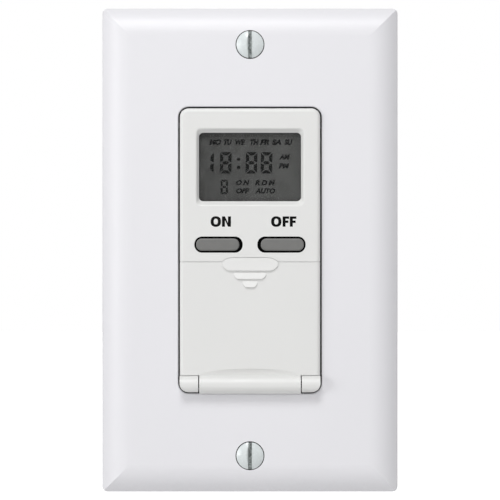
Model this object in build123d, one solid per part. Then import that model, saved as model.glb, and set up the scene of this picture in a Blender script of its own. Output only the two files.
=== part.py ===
from build123d import *
import os

os.makedirs("parts", exist_ok=True)

# A clock timer in the place of a light switch, behind a decorator wall plate.
# X runs across, Y runs back into the wall and Z runs up. Sizes are in millimetres.
# The origin is midway between the two wall box screws, on the strap's back face.

# Clearances, and how far a cutter runs past what it cuts
running_gap = 0.05
slip_gap = 0.2
seat_gap = 0.1
press_gap = 0.02
overrun = 2.0
hair = 0.01

# Wall plate
plate_width = 69.85
plate_rim = 2.6
plate_crown = 3.0
plate_border = 6.6
plate_wall = 2.0
plate_corner = 1.4
plate_edge = 1.0
plate_pitch = 96.84
plate_margin = 8.73
plate_rib = 1.0
plate_frame_gap = 1.0
plate_rib_height = 2.0
plate_rib_pitch = 24.0
plate_rib_count = 4
plate_boss_radius = 3.0
opening_gap = 0.35
opening_edge = 0.4

# Oval head screws of the plate, and the threads that all the larger screws share
thread_radius = 1.75
oval_radius = 3.2
oval_crown = 0.9
oval_taper = 1.7
oval_length = 10.0
driver_slot = 0.8
driver_depth = 1.0
driver_mouth = 1.7
driver_bevel = 0.4

# Screws that hold the strap to the wall box, with their keeper washers
box_pitch = 83.34
box_head_radius = 3.5
box_head_height = 1.8
box_screw_length = 20.0
box_neck_radius = 1.5
washer_radius = 4.4
washer_thickness = 0.6

# Mounting strap
strap_thickness = 1.2
strap_width = 44.0
strap_shoulder = 37.0
strap_end = 4.08
strap_neck = 24.0
wing_width = 36.0
wing_height = 6.5
wing_notch = 1.6
strap_corner = 1.5
strap_ledge_x = 1.0
strap_ledge_z = 2.15
slot_length = 7.0
ground_tab_height = 7.0
ground_tab_reach = 9.0
ground_head_radius = 3.4
ground_head_height = 1.6
ground_screw_length = 3.6

# Front bezel
face_width = 33.0
face_height = 66.7
face_edge = 0.9
face_proud = 1.3
front_wall = 1.6
side_wall = 1.4
inner_corner = 0.7
flange_thickness = 1.2
flange_height = 72.0
flange_corner = 2.0
deck_thickness = 1.4
bay_wall = 1.0

# Screws that clamp bezel, strap and rear case together
case_head_radius = 1.8
case_head_height = 0.7
case_shank_radius = 1.0
case_screw_length = 8.4
case_screw_pitch = 59.0
case_boss_radius = 2.6
case_boss_depth = 10.0

# Display
display_z = 19.55
window_width = 24.0
window_height = 16.1
window_corner = 1.0
window_depth = 1.0
window_slope_x = 0.6
window_slope_z = 1.0
window_edge = 0.5
lens_lap = 1.5
lens_thickness = 1.0
lens_corner = 0.8
lcd_width = 28.0
lcd_height = 20.0
lcd_front_thickness = 0.9
lcd_rear_thickness = 0.7
lcd_ledge = 1.6
reflector_thickness = 0.2
holder_wall = 0.8
strip_length = 26.0
strip_thickness = 1.4
strip_inset = 0.3

# Key caps
button_x = 7.4
button_z = 1.3
button_drift = 0.2
button_width = 10.15
button_height = 2.9
button_corner = 1.35
button_gap = 0.45
button_side_gap = 0.6
button_proud = 0.25
button_edge = 0.35
button_travel = 0.8
key_x = 7.4
key_row_z = -8.4
key_row_pitch = 6.0
key_width = 8.0
key_height = 3.4
key_corner = 1.2
key_gap = 0.25
key_proud = 0.8
key_edge = 0.3
key_flange = 0.6
key_flange_lap = 0.6
reset_radius = 1.5
stem_radius = 1.5

# Push switches on the logic board
plunger_radius = 1.2
plunger_reach = 0.9
switch_size = 5.2
switch_height = 2.0
switch_floor = 0.15
switch_lid = 4.4
switch_lid_height = 0.3

# Door
door_top = -2.8
door_seam = 0.08
door_gap = 0.2
door_thickness = 1.5
door_skirt = 1.2
hinge_z = -31.6
hinge_sink = 0.4
barrel_radius = 2.2
barrel_blend = 0.5
scoop_radius = 3.0
scoop_depth = 0.55
scoop_rise = 2.05
pin_radius = 0.75
ear_width = 4.35
ear_gap = 0.25
ear_radius = 2.1
pin_end = 1.0

# Thumb grip: three stepped ledges on the door
tab_width = 13.0
tab_rise = 1.0
tab_shoulder = 2.2
grip_top_widths = [13.2, 7.6, 3.5]
grip_low_widths = [9.4, 5.8, 1.9]
grip_drop = 2.0
grip_pitch = 1.95
grip_height = 1.45
grip_proud = 0.45

# Circuit boards
board_thickness = 1.6
logic_width = 30.0
logic_top = 31.0
logic_bottom = -21.5
power_side_gap = 0.5
power_top = 30.6
power_bottom = -21.0
spacer_length = 21.8
spacer_radius = 1.8
spacer_x = 12.8
spacer_top_z = 27.5
spacer_low_z = -14.0
board_screw_x = 13.2
board_screw_top_z = 6.2
board_screw_low_z = -19.2
board_screw_radius = 0.6
board_screw_length = 4.4
board_head_radius = 1.5
board_head_height = 0.7
bezel_post_radius = 1.4

# Battery drawer
drawer_z = -26.0
cell_radius = 10.0
cell_height = 3.2
cell_edge = 0.25
tray_floor = 1.0
tray_wall = 1.0
tray_front = 2.1
tray_lip = 0.8
tray_lip_lap = 0.6
cell_nose = 0.2
nail_radius = 3.0
nail_depth = 0.4
contact_thickness = 0.4
contact_width = 3.0
contact_tab = 1.9
contact_drop = 0.9
negative_x = 6.5
spring_foot = 3.0
spring_rise = 0.9

# Rear case
case_width = 43.0
case_height = 66.0
case_depth = 34.0
case_wall = 1.8
case_inner_corner = 0.7
case_back_edge = 1.0
case_panel_margin = 7.0
case_panel_depth = 0.4
case_panel_corner = 2.0
case_post_radius = 2.0
rail_thickness = 1.4
rail_depth = 19.0

# Screw terminals
pocket_size = 10.0
pocket_depth = 5.1
terminal_y = 12.0
terminal_top_z = 18.0
terminal_pitch = 20.0
terminal_size = 9.0
terminal_thickness = 1.0
tail_width = 3.0
terminal_head_radius = 3.6
terminal_head_height = 1.8
terminal_shank_radius = 2.0
terminal_shank_reach = 2.2

# Relay
relay_z = 20.0
relay_width = 19.0
relay_height = 15.5
relay_depth = 15.3
relay_base_thickness = 1.6
cover_wall = 0.8
cover_edge = 0.8
yoke_thickness = 1.2
yoke_width = 8.0
yoke_limb_x = 6.2
core_x = -0.5
core_radius = 1.8
pole_radius = 3.0
pole_thickness = 0.8
pole_gap = 0.8
coil_radius = 4.6
armature_front = 2.3
armature_thickness = 1.0
armature_end = 5.2
leaf_thickness = 0.3
leaf_width = 3.6
leaf_grip = 7.2
contact_x = -7.0
contact_radius = 1.1
rivet_height = 0.7
contact_travel = 1.05
terminal_strip = 0.4
strip_width = 2.4

# Other electronics
chip_size = 10.0
chip_height = 1.5
chip_z = 14.0
chip_edge = 0.4
crystal_radius = 1.5
crystal_length = 6.0
crystal_x = 5.0
crystal_z = 2.5
resistor_length = 2.0
resistor_width = 1.25
resistor_height = 0.6
resistor_count = 5
resistor_pitch = 4.0
resistor_z = -4.0
pin_count = 5
pin_pitch = 2.54
pin_size = 0.64
pin_room = 0.15
header_x = -5.0
header_z = -17.5
header_height = 2.5
socket_depth = 8.5
pin_dip = 3.0
film_width = 13.0
film_height = 6.5
film_depth = 12.0
film_x = 0.0
film_z = 8.2
film_edge = 0.6
smoothing_radius = 4.0
smoothing_depth = 12.0
smoothing_x = 4.6
smoothing_z = 0.0
smoothing_edge = 0.5
varistor_radius = 4.5
varistor_thickness = 3.6
varistor_x = -4.4
varistor_z = 0.0
varistor_edge = 0.8
lead_radius = 0.35
lead_pitch = 5.0
lead_rise = 1.0
diode_radius = 1.3
diode_length = 4.6
diode_span = 8.0
diode_x = 4.6
diode_z = -6.5
diode_pitch = 3.0
diode_count = 4

# Places along Y, from the wall forward and then back through the boards
plate_front = -(plate_rim + plate_crown)
strap_front = -strap_thickness
flange_front = strap_front - flange_thickness
face_front = plate_front - face_proud
wall_back = face_front + front_wall
hinge_y = face_front + hinge_sink
deck_front = hinge_y + barrel_radius + slip_gap
deck_back = deck_front + deck_thickness
door_back = face_front + door_thickness
plunger_front = deck_back + slip_gap + key_flange
switch_front = plunger_front + plunger_reach
logic_front = switch_front + switch_height
logic_back = logic_front + board_thickness
power_front = logic_back + spacer_length
power_back = power_front + board_thickness
lens_front = face_front + window_depth
lcd_front = lens_front + lens_thickness + seat_gap
ground_screw_y = ground_tab_reach - ground_head_radius - seat_gap
cell_y = deck_front + tray_front + slip_gap + cell_radius
tray_back = cell_y + cell_radius - cell_nose
contact_y = logic_back + contact_thickness / 2
base_front = power_front - relay_base_thickness
relay_front = power_front - relay_depth
armature_y = relay_front + cover_wall + armature_front
armature_back = armature_y + armature_thickness
pole_front = armature_back + pole_gap
contact_back = armature_y + rivet_height

# Places across and up
plate_height = plate_pitch + 2 * plate_margin
strap_length = plate_pitch + 2 * strap_end
opening_width = face_width + 2 * opening_gap
opening_height = face_height + 2 * opening_gap
face_corner = side_wall + inner_corner
case_screw_x = face_width / 2 + slip_gap + case_head_radius
case_screw_z = case_screw_pitch / 2
flange_width = 2 * (case_screw_x + case_head_radius + slip_gap)
ear_x = face_width / 2 - ear_width
ear_top = hinge_z + ear_radius
door_bottom = ear_top + door_seam
barrel_half = ear_x - ear_gap
case_inside_x = case_width / 2 - case_wall
case_inside_z = case_height / 2 - case_wall
case_inside_y = case_depth - case_wall
power_width = 2 * (case_inside_x - power_side_gap)
pocket_floor = case_width / 2 - pocket_depth
tray_width = 2 * (cell_radius + slip_gap + tray_wall)
tray_height = cell_height + slip_gap + tray_floor
cell_z = drawer_z + tray_height / 2 - slip_gap - cell_height / 2
contact_z = logic_bottom - contact_drop
contact_top = logic_bottom + contact_tab
corner_signs = [(-1, 1), (1, 1), (-1, -1), (1, -1)]
side_signs = [-1, 1]
board_screw_places = [(side * board_screw_x, z) for side in side_signs
                      for z in (board_screw_top_z, board_screw_low_z)]
spacer_places = [(side * spacer_x, z) for side in side_signs for z in (spacer_top_z, spacer_low_z)]
terminal_places = [(side, terminal_top_z - row * terminal_pitch) for side in side_signs for row in (0, 1)]
key_places = {
    "mode": (-key_x, key_row_z),
    "day": (key_x, key_row_z),
    "hour": (-key_x, key_row_z - key_row_pitch),
    "minute": (key_x, key_row_z - key_row_pitch),
}
reset_z = key_row_z - key_row_pitch / 2
button_holes = [(-button_x, button_z), (button_x, button_z)]
button_places = {"on": (-button_x - button_drift, button_z), "off": (button_x + button_drift, button_z)}
switch_places = [*button_places.values(), *key_places.values(), (0, reset_z)]


# Blocks, posts and rods by their front face, all square to the frame
def slab(width, depth, height, x=0, front=0, z=0):
    return Pos(x, front + depth / 2, z) * Box(width, depth, height)


def tile(width, depth, height, corner, x=0, front=0, z=0):
    outline = Plane.XZ * RectangleRounded(width, height, corner)
    return Pos(x, front + depth, z) * extrude(outline, depth)


def post(radius, depth, x=0, front=0, z=0):
    return Pos(x, front + depth / 2, z) * Rot(90, 0, 0) * Cylinder(radius, depth)


def rod(radius, length, x=0, y=0, z=0):
    return Pos(x, y, z) * Rot(0, 90, 0) * Cylinder(radius, length)


def front_edges(solid):
    return solid.faces().sort_by(Axis.Y)[0].edges()


def group(solids):
    return Compound(children=list(solids))


def save(name, shape):
    export_step(shape, f"parts/{name}.step")


# A bent metal strip: its middle line runs through (y, z) points, and its width lies along X
def bent_strip(points, thickness, width, x=0):
    path = Polyline(*points)
    outline = trace(path, thickness)
    return Pos(x, 0, 0) * extrude(Plane.YZ * outline, width / 2, both=True)


# Wall plate: a crowned block, mitred at its corners, hollowed and opened for the bezel
def crown(width, length, rise, border):
    half = width / 2
    front = -plate_rim - rise
    outline = make_face([
        Line((-half, 0), (-half, -plate_rim)),
        TangentArc((border - half, front), (-half, -plate_rim), tangent=(-1, 0)),
        Line((border - half, front), (half - border, front)),
        TangentArc((half - border, front), (half, -plate_rim), tangent=(1, 0)),
        Line((half, -plate_rim), (half, 0)),
        Line((half, 0), (-half, 0)),
    ])
    shoulders = outline.vertices().filter_by(lambda corner: abs(corner.Y + plate_rim) < hair)
    return extrude(fillet(shoulders, plate_edge), length / 2 + overrun, both=True)


def crowned_block(inset):
    width = plate_width - 2 * inset
    height = plate_height - 2 * inset
    rise = plate_crown - inset
    border = plate_border - inset
    return crown(width, height, rise, border) & Rot(0, 90, 0) * crown(height, width, rise, border)


def corner_cut():
    depth = 2 * (overrun - plate_front)
    square = Pos(plate_corner, 0, plate_corner) * Box(2 * plate_corner, depth, 2 * plate_corner)
    return square - Rot(90, 0, 0) * Cylinder(plate_corner, depth)


# Stiffening ribs on the plate's back: one frame on the strap round the bezel, short bars to the border,
# and a boss behind each screw
def plate_ribs():
    inner_face = plate_front + plate_wall
    frame_depth = strap_front - seat_gap - inner_face
    frame_width = flange_width + 2 * plate_frame_gap
    frame_height = flange_height + 2 * plate_frame_gap
    ribs = slab(frame_width + 2 * plate_rib, frame_depth, frame_height + 2 * plate_rib, front=inner_face)
    ribs -= slab(frame_width, frame_depth, frame_height, front=inner_face)
    bar_length = (plate_width - strap_width) / 2 - slip_gap
    bar_x = strap_width / 2 + slip_gap + bar_length / 2
    first = -(plate_rib_count - 1) * plate_rib_pitch / 2
    for side in side_signs:
        for index in range(plate_rib_count):
            ribs += slab(bar_length, plate_rib_height, plate_rib, side * bar_x, inner_face,
                         first + index * plate_rib_pitch)
    for end in side_signs:
        ribs += post(plate_boss_radius, frame_depth, 0, inner_face, end * plate_pitch / 2)
    return ribs


def opening_rim(edge):
    box = edge.bounding_box()
    return (box.min.Y > plate_front - hair and box.max.Y < plate_front + hair
            and box.max.X < opening_width / 2 + hair and box.max.Z < opening_height / 2 + hair
            and box.min.Z > -opening_height / 2 - hair)


def wall_plate():
    plate = crowned_block(0)
    for (side, end), turn in zip(corner_signs, (270, 0, 180, 90)):
        corner = Pos(side * (plate_width / 2 - plate_corner), 0, end * (plate_height / 2 - plate_corner))
        plate -= corner * Rot(0, turn, 0) * corner_cut()
    plate -= crowned_block(plate_wall) - plate_ribs()
    plate -= tile(opening_width, -plate_front + 2 * overrun, opening_height, face_corner + opening_gap,
                  front=plate_front - overrun)
    plate = fillet(plate.edges().filter_by(opening_rim), opening_edge)
    for end in side_signs:
        plate -= Pos(0, plate_front, end * plate_pitch / 2) * oval_profile(seat_gap, -plate_front)
    return plate


# Oval head screw, standing along +Y with the rim of its head in the plane of the plate
def oval_profile(gap, length):
    radius = oval_radius + gap
    shank = thread_radius + gap
    outline = make_face([
        Line((0, -overrun), (radius, -overrun)),
        Line((radius, -overrun), (radius, 0)),
        Line((radius, 0), (shank, oval_taper + gap)),
        Line((shank, oval_taper + gap), (shank, length)),
        Line((shank, length), (0, length)),
        Line((0, length), (0, -overrun)),
    ])
    return revolve(outline, Axis.Y)


def oval_screw():
    outline = make_face([
        TangentArc((0, -oval_crown), (oval_radius, 0), tangent=(1, 0)),
        Line((oval_radius, 0), (thread_radius, oval_taper)),
        Line((thread_radius, oval_taper), (thread_radius, oval_length)),
        Line((thread_radius, oval_length), (0, oval_length)),
        Line((0, oval_length), (0, -oval_crown)),
    ])
    mouth = make_face(Polyline((-driver_mouth / 2, -oval_crown), (driver_mouth / 2, -oval_crown),
                               (driver_slot / 2, driver_bevel - oval_crown),
                               (-driver_slot / 2, driver_bevel - oval_crown), close=True))
    body = revolve(outline, Axis.Y) - extrude(mouth, oval_radius, both=True)
    return body - slab(driver_slot, driver_depth, 2 * oval_radius + overrun, front=-oval_crown)


def plate_screws():
    return group(Pos(0, plate_front, end * plate_pitch / 2) * oval_screw() for end in side_signs)


# Flat topped screws: head in front of the origin, shank behind it
def pan_screw(head_radius, head_height, shank_radius, shank_length, slot):
    head = post(head_radius, head_height, front=-head_height)
    head = fillet(front_edges(head), head_height / 2)
    head -= slab(slot, head_height / 2, 2 * head_radius + overrun, front=-head_height)
    return head + post(shank_radius, shank_length)


def cross_screw(head_radius, head_height, shank_radius, shank_length):
    head = post(head_radius, head_height, front=-head_height)
    head = fillet(front_edges(head), head_height / 2)
    for turn in (0, 90):
        head -= Rot(0, turn, 0) * slab(head_radius / 3, head_height / 2, head_radius, front=-head_height)
    return head + post(shank_radius, shank_length)


def mounting_screws():
    neck_length = strap_thickness + washer_thickness + seat_gap
    screw = pan_screw(box_head_radius, box_head_height, box_neck_radius, neck_length, driver_slot)
    screw += post(thread_radius, box_screw_length + strap_thickness - neck_length, front=neck_length)
    return group(Pos(0, strap_front, end * box_pitch / 2) * screw for end in side_signs)


def screw_washers():
    washer = post(washer_radius, washer_thickness) - post(thread_radius + press_gap, washer_thickness)
    return group(Pos(0, 0, end * box_pitch / 2) * washer for end in side_signs)


# Mounting strap, with plaster ears at both ends and a grounding tab bent back at the lower left
def mounting_strap():
    ear_z = (strap_length - wing_height) / 2
    strap = slab(strap_neck, strap_thickness, strap_length, front=strap_front)
    strap += tile(strap_width, strap_thickness, 2 * strap_shoulder, strap_corner, front=strap_front)
    for end in side_signs:
        strap += tile(wing_width, strap_thickness, wing_height, strap_corner, front=strap_front,
                      z=end * ear_z)
        for side in side_signs:
            notch = Rot(0, 45, 0) * slab(wing_notch, strap_thickness + 2 * overrun, wing_notch,
                                         front=strap_front - overrun)
            strap -= Pos(side * strap_neck / 2, 0, end * strap_length / 2) * notch
        strap -= tile(slot_length, strap_thickness + 2 * overrun, 2 * (thread_radius + slip_gap),
                      thread_radius, front=strap_front - overrun, z=end * box_pitch / 2)
        strap -= post(thread_radius + running_gap, strap_thickness + 2 * overrun,
                      front=strap_front - overrun, z=end * plate_pitch / 2)
    strap -= tile(face_width - 2 * strap_ledge_x, strap_thickness + 2 * overrun,
                  face_height - 2 * strap_ledge_z, inner_corner, front=strap_front - overrun)
    for side, end in corner_signs:
        strap -= post(case_shank_radius + slip_gap, strap_thickness + 2 * overrun,
                      side * case_screw_x, strap_front - overrun, end * case_screw_z)
    tab_x = (strap_thickness - strap_neck) / 2
    tab_z = -box_pitch / 2
    tab = slab(strap_thickness, ground_tab_reach - strap_front, ground_tab_height, tab_x, strap_front, tab_z)
    bore = rod(thread_radius + running_gap, strap_thickness + 2 * overrun, tab_x, ground_screw_y, tab_z)
    return strap + tab - bore


def ground_screw():
    screw = pan_screw(ground_head_radius, ground_head_height, thread_radius, ground_screw_length,
                      driver_slot)
    return Pos(-strap_neck / 2, ground_screw_y, -box_pitch / 2) * Rot(0, 0, -90) * screw


# The outside of bezel and door together, so that both share one face and one edge
def front_block():
    block = tile(face_width, strap_front - face_front, face_height, face_corner, front=face_front)
    return fillet(front_edges(block), face_edge)


# The thumb tab on top of the door, and the notch for it in the bezel
def tab_outline(gap):
    half = tab_width / 2 + gap
    flat = tab_width / 2 - tab_shoulder
    return make_face([
        TangentArc((-flat, tab_rise + gap), (-half, 0), tangent=(-1, 0)),
        Line((-flat, tab_rise + gap), (flat, tab_rise + gap)),
        TangentArc((flat, tab_rise + gap), (half, 0), tangent=(1, 0)),
        Line((half, 0), (half, -tab_rise)),
        Line((half, -tab_rise), (-half, -tab_rise)),
        Line((-half, -tab_rise), (-half, 0)),
    ])


def thumb_tab(gap, depth, front):
    return Pos(0, front + depth, door_top) * extrude(Plane.XZ * tab_outline(gap), depth)


def window_cut():
    face_rect = RectangleRounded(window_width + 2 * window_slope_x, window_height + 2 * window_slope_z,
                                 window_corner)
    deep_rect = RectangleRounded(window_width, window_height, window_corner)
    at_face = Pos(0, face_front, display_z) * (Plane.XZ * face_rect)
    at_lens = Pos(0, lens_front, display_z) * (Plane.XZ * deep_rect)
    return loft([at_lens, at_face])


# Two ears at the bezel's lower corners, rounded in front like the barrel between them
def hinge_ears():
    depth = deck_back - hinge_y + ear_radius
    outline = tile(face_width, depth, face_height, face_corner, front=hinge_y - ear_radius)
    low = -face_height / 2
    ears = rod(ear_radius, face_width, 0, hinge_y, hinge_z)
    ears += slab(face_width, deck_back - hinge_y, ear_top - low, 0, hinge_y, (ear_top + low) / 2)
    ears &= outline
    return ears - slab(2 * ear_x, 2 * depth, face_height, 0, hinge_y - depth, hinge_z)


def window_rim(edge):
    box = edge.bounding_box()
    return (abs(box.min.Y - face_front) < hair and abs(box.max.Y - face_front) < hair
            and box.max.X < window_width / 2 + window_slope_x + hair
            and box.min.X > -window_width / 2 - window_slope_x - hair
            and box.max.Z < display_z + window_height / 2 + window_slope_z + hair
            and box.min.Z > display_z - window_height / 2 - window_slope_z - hair)


def front_bezel():
    bay_top = door_top + door_seam
    inner_width = face_width - 2 * side_wall
    inner_height = face_height - 2 * side_wall
    bezel = front_block()
    bezel += tile(flange_width, flange_thickness, flange_height, flange_corner, front=flange_front)
    cavity = tile(inner_width, strap_front - wall_back + overrun, inner_height, inner_corner,
                  front=wall_back)
    shelf = slab(face_width, deck_back - wall_back, face_height, front=wall_back,
                 z=bay_top + bay_wall - face_height / 2)
    bezel -= cavity - shelf
    bay_low = -face_height / 2 - overrun
    bezel -= slab(face_width + 2 * overrun, deck_front - face_front + overrun, bay_top - bay_low,
                  front=face_front - overrun, z=(bay_top + bay_low) / 2)
    bezel += hinge_ears()
    bezel -= thumb_tab(door_seam, door_thickness + overrun + door_gap, face_front - overrun)
    bezel -= rod(pin_radius + press_gap, face_width - 2 * pin_end + 2 * seat_gap, 0, hinge_y, hinge_z)
    bezel -= window_cut()
    bezel = fillet(bezel.edges().filter_by(window_rim), window_edge)
    bezel -= tile(window_width + 2 * lens_lap + 2 * seat_gap, lens_thickness + front_wall,
                  window_height + 2 * lens_lap + 2 * seat_gap, lens_corner, front=lens_front, z=display_z)
    for x, z in button_holes:
        bezel -= tile(button_width + 2 * button_side_gap, front_wall + 2 * overrun,
                      button_height + 2 * button_gap, button_corner + button_gap, x, face_front - overrun, z)
    for x, z in key_places.values():
        bezel -= tile(key_width + 2 * key_gap, deck_thickness + overrun, key_height + 2 * key_gap,
                      key_corner + key_gap, x, deck_front - overrun / 2, z)
    bezel -= post(reset_radius + key_gap, deck_thickness + overrun, 0, deck_front - overrun / 2, reset_z)
    bezel -= slab(tray_width + 2 * slip_gap, deck_thickness + overrun, tray_height + 2 * slip_gap,
                  0, deck_front - overrun / 2, drawer_z)
    for x, z in board_screw_places:
        root = wall_back if z > door_top else deck_back
        stand = post(bezel_post_radius, logic_front - root + seat_gap, x, root - seat_gap, z)
        bezel += stand - slab(face_width, overrun, face_height, front=logic_front)
        bezel -= post(board_screw_radius + press_gap, board_screw_length - board_thickness, x,
                      logic_back - board_screw_length, z)
    for side, end in corner_signs:
        bezel -= post(case_shank_radius + press_gap, flange_thickness + 2 * overrun, side * case_screw_x,
                      flange_front - overrun, end * case_screw_z)
    return bezel


def case_screws():
    screw = cross_screw(case_head_radius, case_head_height, case_shank_radius,
                        case_screw_length + flange_thickness + strap_thickness)
    return group(Pos(side * case_screw_x, flange_front, end * case_screw_z) * screw
                 for side, end in corner_signs)


# Display: a clear lens over two glass plates, a reflector, a holder and two rubber connector strips
def display_lens():
    return tile(window_width + 2 * lens_lap, lens_thickness, window_height + 2 * lens_lap,
                lens_corner - seat_gap, front=lens_front, z=display_z)


def lcd_front_glass():
    return slab(lcd_width, lcd_front_thickness, lcd_height, 0, lcd_front, display_z)


def lcd_rear_glass():
    return slab(lcd_width, lcd_rear_thickness, lcd_height - 2 * lcd_ledge, 0,
                lcd_front + lcd_front_thickness, display_z)


def lcd_reflector():
    return slab(lcd_width, reflector_thickness, lcd_height - 2 * lcd_ledge, 0,
                lcd_front + lcd_front_thickness + lcd_rear_thickness, display_z)


def lcd_holder():
    inner_width = lcd_width + 2 * seat_gap
    inner_height = lcd_height + 2 * seat_gap
    depth = logic_front - lcd_front
    ring = slab(inner_width + 2 * holder_wall, depth, inner_height + 2 * holder_wall, 0, lcd_front,
                display_z)
    return ring - slab(inner_width, depth, inner_height, 0, lcd_front, display_z)


def lcd_connector_strips():
    front = lcd_front + lcd_front_thickness
    height = lcd_height / 2 - strip_inset - strip_thickness / 2 + seat_gap
    return group(slab(strip_length, logic_front - front, strip_thickness, 0, front,
                      display_z + end * height) for end in side_signs)


# Key caps: a cap in its hole, a flange behind the wall that keeps it, and a stem to the switch
def button(x, z):
    front = face_front - button_proud
    back = wall_back + slip_gap
    cap = tile(button_width, back - front, button_height, button_corner, x, front, z)
    cap = fillet(front_edges(cap), button_edge)
    flange_across = button_width + 2 * (button_side_gap + key_flange_lap)
    flange_up = button_height + 2 * (button_gap + key_flange_lap)
    cap += tile(flange_across, key_flange, flange_up, button_corner, x, back, z)
    stem_front = back + key_flange
    return cap + post(stem_radius, plunger_front - stem_front, x, stem_front, z)


def program_key(x, z):
    front = deck_front - key_proud
    back = deck_back + slip_gap
    cap = tile(key_width, back - front, key_height, key_corner, x, front, z)
    cap = fillet(front_edges(cap), key_edge)
    lap = 2 * (key_gap + key_flange_lap)
    return cap + tile(key_width + lap, key_flange, key_height + lap, key_corner, x, back, z)


def reset_key():
    front = deck_front - key_proud
    back = deck_back + slip_gap
    cap = post(reset_radius, back - front, 0, front, reset_z)
    cap = fillet(front_edges(cap), key_edge)
    return cap + post(reset_radius + key_gap + key_flange_lap, key_flange, 0, back, reset_z)


def plunger(x, z):
    depth = plunger_reach + switch_height - switch_floor - button_travel - seat_gap
    return post(plunger_radius, depth, x, plunger_front, z)


def key_switch(x, z):
    lid_front = switch_front
    body_front = lid_front + switch_lid_height
    body = slab(switch_size, switch_height - switch_lid_height, switch_size, x, body_front, z)
    body += slab(switch_lid, switch_lid_height, switch_lid, x, lid_front, z)
    return body - post(plunger_radius + running_gap, switch_height - switch_floor, x, lid_front, z)


# Door: a shallow cover hinged below, with stepped ledges for the thumb
def grip_outline(top_width, low_width, top, low):
    top_half = top_width / 2
    low_half = low_width / 2
    return make_face([
        Line((-top_half, top), (top_half, top)),
        TangentArc((top_half, top), (low_half, low), tangent=(0, -1)),
        Line((low_half, low), (-low_half, low)),
        TangentArc((-top_half, top), (-low_half, low), tangent=(0, -1)),
    ])


def grip_ledge(index):
    low = door_top - grip_drop - index * grip_pitch
    top = door_top if index == 0 else low + grip_height
    outline = grip_outline(grip_top_widths[index], grip_low_widths[index], top, low)
    depth = grip_proud + door_thickness / 2
    prism = Pos(0, face_front + door_thickness / 2, 0) * extrude(Plane.XZ * outline, depth)
    crest = top + tab_rise if index == 0 else top
    wedge = make_face(Polyline((face_front + door_thickness / 2, crest), (face_front, crest),
                               (face_front - grip_proud, low), (face_front + door_thickness / 2, low),
                               close=True))
    if index == 0:
        prism += thumb_tab(0, depth, face_front - grip_proud)
    return prism & extrude(Plane.YZ * wedge, tab_width, both=True)


# The barrel and the neck that joins it to the door, blended where they meet in front
def barrel_outline():
    neck_top = door_bottom + door_skirt
    neck = Pos(face_front + door_thickness / 2, (neck_top + hinge_z) / 2) * Rectangle(door_thickness,
                                                                                      neck_top - hinge_z)
    outline = Pos(hinge_y, hinge_z) * Circle(barrel_radius) + neck
    valley = outline.vertices().filter_by(lambda corner: abs(corner.X - face_front) < hair
                                          and corner.Y < neck_top - hair)
    return fillet(valley, barrel_blend)


# A shallow finger scoop above the barrel, deepest in the middle
def finger_scoop():
    half = barrel_half
    outline = make_face([
        ThreePointArc((-half, scoop_radius - scoop_depth), (0, scoop_radius),
                      (half, scoop_radius - scoop_depth)),
        Line((half, scoop_radius - scoop_depth), (half, 0)),
        Line((half, 0), (-half, 0)),
        Line((-half, 0), (-half, scoop_radius - scoop_depth)),
    ])
    return Pos(0, face_front - scoop_radius + scoop_depth, hinge_z + scoop_rise) * revolve(outline, Axis.X)


def door():
    tall = door_top - door_bottom
    middle = (door_top + door_bottom) / 2
    skirt_back = deck_front - slip_gap
    panel = front_block() & slab(face_width, skirt_back - face_front, tall, 0, face_front, middle)
    panel -= slab(face_width - 2 * door_skirt, skirt_back - door_back, tall + 2 * overrun, 0, door_back,
                  middle)
    panel += thumb_tab(0, door_thickness, face_front)
    leaf = panel + extrude(Plane.YZ * barrel_outline(), barrel_half, both=True) - finger_scoop()
    leaf += rod(barrel_radius, 2 * barrel_half, 0, hinge_y, hinge_z)
    for index in range(len(grip_low_widths)):
        leaf += grip_ledge(index)
    return leaf - rod(pin_radius + running_gap, 2 * barrel_half + overrun, 0, hinge_y, hinge_z)


def hinge_pin():
    return rod(pin_radius, face_width - 2 * pin_end, 0, hinge_y, hinge_z)


# Boards, with a hole for every screw, pin and terminal that passes through
def logic_board():
    board = slab(logic_width, board_thickness, logic_top - logic_bottom, 0, logic_front,
                 (logic_top + logic_bottom) / 2)
    for x, z in board_screw_places:
        board -= post(board_screw_radius + seat_gap, board_thickness, x, logic_front, z)
    return board


def power_board():
    board = slab(power_width, board_thickness, power_top - power_bottom, 0, power_front,
                 (power_top + power_bottom) / 2)
    for side, z in terminal_places:
        board -= slab(terminal_thickness + 2 * seat_gap, board_thickness, tail_width + 2 * seat_gap,
                      side * (pocket_floor + terminal_thickness / 2), power_front, z)
    return board


def board_spacers():
    return group(post(spacer_radius, spacer_length, x, logic_back, z) for x, z in spacer_places)


def board_screws():
    screw = cross_screw(board_head_radius, board_head_height, board_screw_radius, board_screw_length)
    return group(Pos(x, logic_back, z) * Rot(0, 0, 180) * screw for x, z in board_screw_places)


# Battery drawer, its coin cell and the two contacts that stand on the logic board
def battery_drawer():
    drawer = slab(tray_width, tray_back - deck_front, tray_height, 0, deck_front, drawer_z)
    lip = slab(tray_width + 2 * tray_lip_lap, tray_lip, tray_height + 2 * tray_lip_lap, 0,
               deck_front - tray_lip - seat_gap, drawer_z)
    drawer += lip + slab(tray_width, tray_lip + seat_gap, tray_height, 0, deck_front - tray_lip - seat_gap,
                         drawer_z)
    pocket = Cylinder(cell_radius + slip_gap, tray_height)
    drawer -= Pos(0, cell_y, drawer_z + tray_floor) * pocket
    drawer -= post(nail_radius, nail_depth, 0, deck_front - tray_lip - seat_gap,
                   drawer_z + tray_height / 2 + nail_radius / 2)
    return drawer


def coin_cell():
    cell = Pos(0, cell_y, cell_z) * Cylinder(cell_radius, cell_height)
    return fillet(cell.edges().filter_by(GeomType.CIRCLE), cell_edge)


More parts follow.
